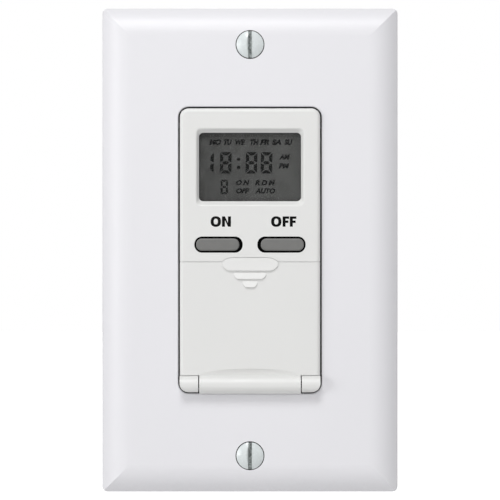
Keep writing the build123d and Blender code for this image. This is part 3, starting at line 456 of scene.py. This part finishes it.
def word_mesh(words, left, right, middle, height, front, slant=0.0, weight=0.0):
    curve = bpy.data.curves.new(words, "FONT")
    curve.body = words
    curve.shear = slant
    curve.offset = weight
    draft = bpy.data.objects.new(words, curve)
    bpy.context.scene.collection.objects.link(draft)
    mesh = bpy.data.meshes.new_from_object(draft.evaluated_get(bpy.context.evaluated_depsgraph_get()))
    bpy.data.objects.remove(draft)
    shape = bmesh.new()
    shape.from_mesh(mesh)
    xs = [vert.co.x for vert in shape.verts]
    ys = [vert.co.y for vert in shape.verts]
    for vert in shape.verts:
        across = (vert.co.x - min(xs)) / (max(xs) - min(xs))
        upward = (vert.co.y - min(ys)) / (max(ys) - min(ys))
        vert.co = (left + across * (right - left), front, middle + (upward - 0.5) * height)
    return shape


def thicken(shape, depth):
    middle = shape.faces[:][0].calc_center_median().y - depth / 2
    grown = bmesh.ops.extrude_face_region(shape, geom=shape.faces[:])
    for item in grown["geom"]:
        if isinstance(item, bmesh.types.BMVert):
            item.co.y -= depth
    shape.normal_update()
    caps = {face for face in shape.faces if len({vert.co.y < middle for vert in face.verts}) == 1}
    front = {face for face in caps if face.verts[0].co.y < middle}
    for side, outward in ((front, -1), (caps - front, 1)):
        if sum(face.normal.y * face.calc_area() for face in side) * outward < 0:
            for face in side:
                face.normal_flip()
    for face in shape.faces[:]:
        if face not in caps and any(other.face in caps and other.vert == loop.vert
                                    for loop in face.loops for other in loop.edge.link_loops):
            face.normal_flip()


def join_shapes(name, shapes, depth, finish):
    mesh = bpy.data.meshes.new(name)
    whole = bmesh.new()
    for shape in shapes:
        thicken(shape, depth)
        part = bpy.data.meshes.new(f"{name}_part")
        shape.to_mesh(part)
        shape.free()
        whole.from_mesh(part)
    whole.to_mesh(mesh)
    whole.free()
    mesh.materials.append(finish)
    return mesh


ink_finish, tree, shader = new_finish("black_ink", Roughness=0.6, Specular_IOR_Level=0.08)
feed(tree, shader, "Base Color", mix_colours(tree, cloud(tree, 0.5 * mm, 3.0), (0.002, 0.002, 0.002),
                                             (0.006, 0.006, 0.006)))
ink_depth = 0.015 * mm
label_low = 5.5 * mm
label_height = 2.42 * mm
round_rise = 0.03 * mm
o_width = 2.44 * mm
n_width = 2.1 * mm
f_width = 1.55 * mm
stem = 0.7 * mm
bar = 0.56 * mm
o_stroke = 0.74 * mm
o_lefts = (-9.25 * mm, 4.95 * mm)
n_right = -4.48 * mm
f_lefts = (7.65 * mm, 9.35 * mm)
outlines = letter_n(n_right - n_width, label_low, n_width, label_height, stem)
for left in o_lefts:
    outlines += letter_o(left, label_low - round_rise, o_width, label_height + 2 * round_rise, o_stroke, bar)
for left in f_lefts:
    outlines += letter_f(left, label_low, f_width, label_height, stem, bar)
labels = flat_shape(outlines, face_front)
bmesh.ops.remove_doubles(labels, verts=labels.verts, dist=0.001 * mm)
add_piece("button_words", join_shapes("button_words", [labels], ink_depth, ink_finish), "timer",
          "switch_black")


# The display window is a clear acrylic plate pressed into the bezel from behind. Below it lies the
# liquid crystal cell: two thin glasses with a smoky polariser, a foil that reflects, and a plastic holder.
lens_finish, tree, shader = new_finish("clear_acrylic", Base_Color=(0.04, 0.045, 0.045), IOR=1.49,
                                       Alpha=0.06, Roughness=0.05)
feed(tree, shader, "Roughness", ramp(tree, cloud(tree, 6 * mm, 4.0), 0.3, 0.7, 0.03, 0.09))
relief(tree, shader, cloud(tree, 7 * mm, 1.0), 0.01 * mm)
dress(lens_finish, "display_lens")

cell_finish, tree, shader = new_finish("smoky_polariser", Roughness=0.35, Specular_IOR_Level=0.06)
axes = add_node(tree, "ShaderNodeSeparateXYZ", {0: object_place(tree)})
# The smoke of the cell is made lighter towards the right.
lighter_to_right = ramp(tree, axes.outputs[0], -6 * mm, 12 * mm, -0.15, 0.35)
streaks = ramp(tree, cloud(tree, 0.9 * mm, 3.0, (1.0, 1.0, 0.3)), 0.5, 0.75, 0.0, 0.6)
smears = calc(tree, "ADD", ramp(tree, cloud(tree, 4 * mm, 6.0), 0.3, 0.7, 0.0, 1.0), streaks)
haze = calc(tree, "ADD", smears, lighter_to_right)
specks = ramp(tree, cloud(tree, 0.4 * mm, 2.0), 0.6, 0.72, 0.0, 0.8)
smoke = mix_colours(tree, haze, (0.068, 0.068, 0.066), (0.098, 0.099, 0.096))
feed(tree, shader, "Base Color", mix_colours(tree, specks, smoke, (0.15, 0.15, 0.145)))
relief(tree, shader, cloud(tree, 0.3 * mm, 2.0), 0.003 * mm)
dress(cell_finish, "lcd_front_glass")

rear_glass_finish, tree, shader = new_finish("rear_glass", IOR=1.5, Roughness=0.12)
feed(tree, shader, "Base Color", mix_colours(tree, cloud(tree, 5 * mm), (0.10, 0.115, 0.11),
                                             (0.13, 0.145, 0.14)))
dress(rear_glass_finish, "lcd_rear_glass")

foil_finish, tree, shader = new_finish("satin_foil", Metallic=1.0, Roughness=0.45)
feed(tree, shader, "Base Color", mix_colours(tree, cloud(tree, 2 * mm, 3.0), (0.42, 0.46, 0.44),
                                             (0.52, 0.56, 0.54)))
relief(tree, shader, cloud(tree, 0.1 * mm, 2.0), 0.004 * mm)
dress(foil_finish, "lcd_reflector")

rubber_finish, tree, shader = new_finish("layered_rubber", Roughness=0.8)
layers = cloud(tree, 0.2 * mm, 1.0, (1.0, 0.01, 0.01))
feed(tree, shader, "Base Color", mix_colours(tree, layers, (0.02, 0.02, 0.022), (0.45, 0.48, 0.52)))
dress(rubber_finish, "lcd_connector_strips")


# The signs of the display are printed electrodes in the cell: weekday letters, a clock of seven-bar
# digits, and small words beside them. They show as darker grey on the smoky ground.
def bar_shapes(left, right, low, high, stroke, gap, lean=0.0):
    middle = (low + high) / 2
    half = stroke / 2
    edge_left = left + gap
    edge_right = right - gap
    bars = [
        [(edge_left, high), (edge_right, high), (edge_right - stroke, high - stroke),
         (edge_left + stroke, high - stroke)],
        [(edge_left + stroke, low + stroke), (edge_right - stroke, low + stroke), (edge_right, low),
         (edge_left, low)],
        [(edge_left + half, middle), (edge_left + stroke, middle + half),
         (edge_right - stroke, middle + half), (edge_right - half, middle),
         (edge_right - stroke, middle - half), (edge_left + stroke, middle - half)],
    ]
    for bottom, top in ((low + gap, middle - gap / 2), (middle + gap / 2, high - gap)):
        upper = top == high - gap
        low_inner = bottom + (half if upper else stroke)
        top_inner = top - (stroke if upper else half)
        bars.append([(left, bottom), (left, top), (left + stroke, top_inner), (left + stroke, low_inner)])
        bars.append([(right, top), (right, bottom), (right - stroke, low_inner),
                     (right - stroke, top_inner)])
    return [[(x + lean * (z - middle), z) for x, z in bar] for bar in bars]


def dot_outline(x, z, radius, sides=16):
    turns = [math.tau * step / sides for step in range(sides)]
    return [(x + radius * math.cos(turn), z + radius * math.sin(turn)) for turn in turns]


cell_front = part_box("lcd_front_glass")[0].y
sign_depth = 0.02 * mm
sign_finish, tree, shader = new_finish("display_electrode", Roughness=0.4, Specular_IOR_Level=0.06)
feed(tree, shader, "Base Color", mix_colours(tree, cloud(tree, 2 * mm, 3.0), (0.002, 0.002, 0.002),
                                             (0.012, 0.012, 0.012)))
big_low, big_high = 18.05 * mm, 23.1 * mm
digit_width = 2.7 * mm
digit_lefts = (-7.07 * mm, -1.0 * mm, 2.54 * mm)
big_stroke, big_gap, big_lean = 0.78 * mm, 0.16 * mm, 0.02
one_left, one_right = -11.3 * mm, -8.55 * mm
colon_x, colon_radius = -2.7 * mm, 0.42 * mm
colon_levels = (19.5 * mm, 21.4 * mm)
small_left, small_right, small_low, small_high = -6.95 * mm, -5.2 * mm, 13.2 * mm, 16.6 * mm
small_stroke, small_gap = 0.5 * mm, 0.1 * mm
outlines = []
for left in digit_lefts:
    outlines += bar_shapes(left, left + digit_width, big_low, big_high, big_stroke, big_gap, big_lean)
one = bar_shapes(one_left, one_right, big_low, big_high, big_stroke, big_gap, big_lean)
outlines += [one[4], one[6]]
outlines += [dot_outline(colon_x, z, colon_radius) for z in colon_levels]
outlines += bar_shapes(small_left, small_right, small_low, small_high, small_stroke, small_gap)
signs = [flat_shape(outlines, cell_front)]
day_height = 1.35 * mm
day_middle = 25.45 * mm
word_slant = 0.25
day_weight = 0.06
small_weight = 0.055
day_spans = {"MO": (-9.6, -6.8), "TU": (-6.2, -4.2), "WE": (-3.5, -1.1), "TH": (0.0, 2.1),
             "FR": (2.35, 4.6), "SA": (5.15, 7.35), "SU": (8.1, 10.05)}
for words, (left, right) in day_spans.items():
    signs.append(word_mesh(words, left * mm, right * mm, day_middle, day_height, cell_front, word_slant,
                           day_weight))
small_words = {
    "AM": (6.85, 9.4, 21.95, 1.25),
    "PM": (6.75, 9.25, 19.85, 1.25),
    "O N": (-3.3, -0.1, 15.9, 1.25),
    "R D M": (1.2, 5.95, 15.9, 1.25),
    "OFF": (-3.3, -0.1, 13.95, 1.25),
    "AUTO": (1.2, 5.95, 13.95, 1.25),
}
for words, (left, right, middle, height) in small_words.items():
    signs.append(word_mesh(words, left * mm, right * mm, middle * mm, height * mm, cell_front, word_slant,
                           small_weight))
add_piece("display_signs", join_shapes("display_signs", signs, sign_depth, sign_finish), "timer",
          "lcd_front")


# Only the crowns of the keys are painted grey. Below the crown each key is painted near-black as painted
# shade, so that the gap round each looks black. The push switches below them are black blocks with glossy
# plungers.
def key_finish(name, crown_back, light, dark):
    finish, tree, shader = new_finish(name, Roughness=0.45)
    axes = add_node(tree, "ShaderNodeSeparateXYZ", {0: object_place(tree)})
    crown = calc(tree, "LESS_THAN", axes.outputs[1], crown_back)
    paint = mix_colours(tree, cloud(tree, 2.5 * mm, 3.0), light, dark)
    # painted shade: below the crown the key is near-black, standing for the shade in the gap round it
    feed(tree, shader, "Base Color", mix_colours(tree, crown, painted_shade_black, paint))
    feed(tree, shader, "Specular IOR Level", ramp(tree, crown, 0.0, 1.0, 0.05, 0.5))
    feed(tree, shader, "Roughness", ramp(tree, cloud(tree, 1.5 * mm, 4.0), 0.3, 0.7, 0.36, 0.52))
    relief(tree, shader, cloud(tree, 0.3 * mm, 3.0), 0.01 * mm)
    return finish


key_light = (0.175, 0.175, 0.17)
key_dark = (0.145, 0.145, 0.14)
button_paint = 0.34 * mm
program_paint = 0.7 * mm
button_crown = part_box("on_button")[0].y + button_paint
dress(key_finish("button_grey", button_crown, key_light, key_dark), "on_button", "off_button")
program_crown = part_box("mode_key")[0].y + program_paint
dress(key_finish("key_grey", program_crown, key_light, key_dark), "mode_key", "day_key", "hour_key",
      "minute_key", "reset_key")

switch_finish, tree, shader = new_finish("switch_black", Roughness=0.5)
feed(tree, shader, "Base Color", mix_colours(tree, cloud(tree, 1 * mm), (0.012, 0.012, 0.013),
                                             (0.022, 0.022, 0.023)))
relief(tree, shader, cloud(tree, 0.2 * mm, 2.0), 0.008 * mm)
dress(switch_finish, "key_switches", "board_socket", "board_header", "relay_base", "rectifier_diodes")

plunger_finish, tree, shader = new_finish("plunger_black", Roughness=0.25)
feed(tree, shader, "Base Color", mix_colours(tree, cloud(tree, 1 * mm), (0.02, 0.02, 0.021),
                                             (0.035, 0.035, 0.036)))
dress(plunger_finish, "on_plunger", "off_plunger", "mode_plunger", "day_plunger", "hour_plunger",
      "minute_plunger", "reset_plunger")


# Small printed words under the program keys say what each sets. They are seen with the door open.
key_rise = 0.8 * mm
deck_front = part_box("mode_key")[0].y + key_rise
key_word_height = 1.1 * mm
key_word_drop = 0.2 * mm
half_letter = 0.42 * mm
key_words = {"mode_key": "MODE", "day_key": "DAY", "hour_key": "HOUR", "minute_key": "MIN"}
shapes = []
for node, words in key_words.items():
    low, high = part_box(node)
    middle = (low.x + high.x) / 2
    half = half_letter * len(words)
    shapes.append(word_mesh(words, middle - half, middle + half, low.z - key_word_drop, key_word_height,
                            deck_front))
add_piece("key_words", join_shapes("key_words", shapes, ink_depth, ink_finish), "timer", "switch_black")


# The hinge pin is a straight length of drawn wire, blackened against rust and a little scored from drawing.
pin_finish, tree, shader = new_finish("blackened_wire", Metallic=0.6, Roughness=0.45)
score = cloud(tree, 0.15 * mm, 2.0, (0.03, 1.0, 1.0))
feed(tree, shader, "Base Color", mix_colours(tree, score, (0.02, 0.02, 0.021), (0.045, 0.045, 0.045)))
relief(tree, shader, score, 0.004 * mm)
dress(pin_finish, "hinge_pin")


# The two boards are glass fibre laminate under green lacquer. Copper tracks show through it as lighter
# lines, and nylon spacers hold the boards apart.
board_finish, tree, shader = new_finish("green_lacquer", Roughness=0.25, IOR=1.5)
cells = add_node(tree, "ShaderNodeTexVoronoi", {"Vector": object_place(tree), "Scale": 1.0 / (3.2 * mm)},
                 feature="DISTANCE_TO_EDGE", distance="CHEBYCHEV")
tracks = ramp(tree, cells.outputs[0], 0.05, 0.09, 1.0, 0.0)
feed(tree, shader, "Base Color", mix_colours(tree, tracks, (0.012, 0.11, 0.04), (0.05, 0.22, 0.09)))
relief(tree, shader, tracks, 0.03 * mm)
dress(board_finish, "logic_board", "power_board")

nylon_finish, tree, shader = new_finish("natural_nylon", Roughness=0.5, Subsurface_Weight=0.1)
shader.inputs["Subsurface Scale"].default_value = 1 * mm
feed(tree, shader, "Base Color", mix_colours(tree, cloud(tree, 3 * mm), (0.66, 0.64, 0.55),
                                             (0.72, 0.70, 0.62)))
relief(tree, shader, cloud(tree, 0.4 * mm), 0.01 * mm)
dress(nylon_finish, "board_spacers", "lcd_holder")


# The battery drawer is a plain white moulding with a nail notch. The coin cell in it is nickel-plated
# steel with fine straight brush lines, and two bent contacts of spring steel reach it from the board.
drawer_finish, tree, shader = new_finish("drawer_white", Roughness=0.45)
feed(tree, shader, "Base Color", mix_colours(tree, cloud(tree, 8 * mm), (0.72, 0.72, 0.70),
                                             (0.78, 0.78, 0.76)))
relief(tree, shader, cloud(tree, 0.25 * mm), 0.006 * mm)
dress(drawer_finish, "battery_drawer")

steel_finish, tree, shader = new_finish("nickel_plate", Metallic=1.0, Roughness=0.28)
brushed = cloud(tree, 0.12 * mm, 2.0, (0.05, 1.0, 1.0))
feed(tree, shader, "Base Color", mix_colours(tree, cloud(tree, 4 * mm), (0.70, 0.69, 0.66),
                                             (0.60, 0.59, 0.57)))
relief(tree, shader, brushed, 0.003 * mm)
dress(steel_finish, "coin_cell", "battery_contact_positive", "battery_contact_negative", "relay_yoke",
      "relay_core", "relay_armature", "clock_crystal")


# The rear case is moulded in dark grey flame-proof plastic with an even spark-eroded skin. A shallow
# panel on its back is left plain.
case_finish, tree, shader = new_finish("case_dark_grey", Roughness=0.55, IOR=1.5)
feed(tree, shader, "Base Color", mix_colours(tree, cloud(tree, 12 * mm, 3.0), (0.020, 0.021, 0.023),
                                             (0.030, 0.031, 0.033)))
feed(tree, shader, "Roughness", ramp(tree, cloud(tree, 3 * mm, 4.0), 0.3, 0.7, 0.48, 0.62))
relief(tree, shader, cloud(tree, 0.35 * mm, 3.0), 0.03 * mm)
dress(case_finish, "rear_case")


# Terminals are brass: a flat plate on the floor of each pocket and a slotted binding screw, both a
# little dulled by handling.
brass_finish, tree, shader = new_finish("dull_brass", Metallic=1.0, Roughness=0.3)
tarnish = cloud(tree, 1.8 * mm, 5.0)
feed(tree, shader, "Base Color", mix_colours(tree, tarnish, (0.80, 0.58, 0.25), (0.58, 0.40, 0.16)))
feed(tree, shader, "Roughness", ramp(tree, tarnish, 0.3, 0.7, 0.22, 0.45))
relief(tree, shader, cloud(tree, 0.3 * mm, 2.0), 0.006 * mm)
dress(brass_finish, "terminal_plates", "terminal_screws")


# The relay has a moulded cover over an iron frame, with a coil of lacquered copper wire wound in even
# turns. Its contacts are silver rivets on copper alloy strips.
cover_finish, tree, shader = new_finish("relay_cover_blue", Roughness=0.3)
feed(tree, shader, "Base Color", mix_colours(tree, cloud(tree, 5 * mm), (0.010, 0.022, 0.085),
                                             (0.014, 0.03, 0.11)))
relief(tree, shader, cloud(tree, 0.5 * mm), 0.006 * mm)
dress(cover_finish, "relay_cover")

coil_finish, tree, shader = new_finish("lacquered_copper", Metallic=0.9, Roughness=0.3)
turns = add_node(tree, "ShaderNodeTexWave", {"Vector": object_place(tree), "Scale": 1.0 / (3.2 * mm)},
                 bands_direction="Y").outputs[1]
feed(tree, shader, "Base Color", mix_colours(tree, turns, (0.25, 0.07, 0.03), (0.62, 0.24, 0.10)))
relief(tree, shader, turns, 0.08 * mm)
dress(coil_finish, "relay_coil")

strip_finish, tree, shader = new_finish("copper_alloy", Metallic=1.0, Roughness=0.3)
feed(tree, shader, "Base Color", mix_colours(tree, cloud(tree, 1.5 * mm, 4.0), (0.66, 0.40, 0.27),
                                             (0.52, 0.29, 0.18)))
dress(strip_finish, "relay_moving_contact", "relay_fixed_contacts")


# The small parts on the boards: a moulded chip, coated resistors, a boxed film capacitor, a sleeved
# can, and a disc varistor dipped in blue resin.
def speckled(name, first, second, roughness, size, depth, *names):
    finish, tree, shader = new_finish(name, Roughness=roughness)
    grains = cloud(tree, size, 4.0)
    feed(tree, shader, "Base Color", mix_colours(tree, grains, first, second))
    relief(tree, shader, grains, depth)
    dress(finish, *names)


speckled("moulded_epoxy", (0.010, 0.010, 0.011), (0.018, 0.018, 0.019), 0.6, 0.3 * mm, 0.01 * mm,
         "controller_chip")
speckled("coated_ceramic", (0.012, 0.012, 0.014), (0.03, 0.03, 0.034), 0.4, 0.5 * mm, 0.01 * mm,
         "chip_resistors")
speckled("film_box", (0.50, 0.30, 0.03), (0.58, 0.36, 0.04), 0.3, 2 * mm, 0.01 * mm, "dropper_capacitor")
speckled("shrunk_sleeve", (0.010, 0.014, 0.035), (0.015, 0.02, 0.05), 0.25, 3 * mm, 0.01 * mm,
         "smoothing_capacitor")
speckled("dipped_resin", (0.012, 0.045, 0.22), (0.02, 0.065, 0.30), 0.45, 0.9 * mm, 0.05 * mm,
         "surge_varistor")


# A plain pale floor lies well below the plate, in an even studio room.
floor_drop = 60 * mm
floor_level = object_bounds()[0].z - floor_drop
floor_half = 3.0
floor_glow = 0.75
floor_mesh = bpy.data.meshes.new("studio_floor")
floor_mesh.from_pydata([(-floor_half, -floor_half, floor_level), (floor_half, -floor_half, floor_level),
                        (floor_half, floor_half, floor_level), (-floor_half, floor_half, floor_level)],
                       [], [(0, 1, 2, 3)])
floor = bpy.data.objects.new("studio_floor", floor_mesh)
bpy.context.scene.collection.objects.link(floor)
floor_finish, tree, shader = new_finish("floor_pale", Base_Color=(0.86, 0.86, 0.86), Roughness=0.9)
rays = add_node(tree, "ShaderNodeLightPath")
shader.inputs["Emission Color"].default_value = (1.0, 1.0, 1.0, 1.0)
feed(tree, shader, "Emission Strength", calc(tree, "MULTIPLY", rays.outputs["Is Camera Ray"], floor_glow))
floor_mesh.materials.append(floor_finish)


# Soft studio light: a room that is brighter ahead and behind than at the sides, a lamp above and a little to
# the left, and a weaker one from the left.
world = bpy.data.worlds.new("studio")
world.use_nodes = True
bpy.context.scene.world = world
tree = world.node_tree
rays = add_node(tree, "ShaderNodeLightPath")
shown = calc(tree, "MAXIMUM", rays.outputs["Is Camera Ray"], rays.outputs["Is Glossy Ray"])
seen = calc(tree, "MAXIMUM", shown, rays.outputs["Is Transmission Ray"])
room_level = 0.55
side_share = 0.75
direction = add_node(tree, "ShaderNodeTexCoord").outputs["Generated"]
facing = add_node(tree, "ShaderNodeSeparateXYZ", {0: direction})
ahead = calc(tree, "ABSOLUTE", facing.outputs[1])
room = ramp(tree, ahead, 0.0, 1.0, room_level * (1 - side_share), room_level * (1 + side_share / 2))
background = tree.nodes["Background"]
background.inputs["Color"].default_value = (1.0, 1.0, 1.0, 1.0)
tree.links.new(ramp(tree, seen, 0.0, 1.0, room, 1.0), background.inputs["Strength"])


def add_lamp(name, place, size, watts):
    lamp_data = bpy.data.lights.new(name, "AREA")
    lamp_data.shape = "DISK"
    lamp_data.size = size
    lamp_data.energy = watts
    lamp = bpy.data.objects.new(name, lamp_data)
    lamp.location = place
    lamp.rotation_euler = (-lamp.location).to_track_quat("-Z", "Y").to_euler()
    bpy.context.scene.collection.objects.link(lamp)


add_lamp("top_lamp", (-0.08, -0.62, 0.74), 0.4, 4.4)
add_lamp("left_lamp", (-0.8, -0.6, 0.1), 0.45, 2.2)

bpy.context.scene.view_settings.view_transform = "Standard"
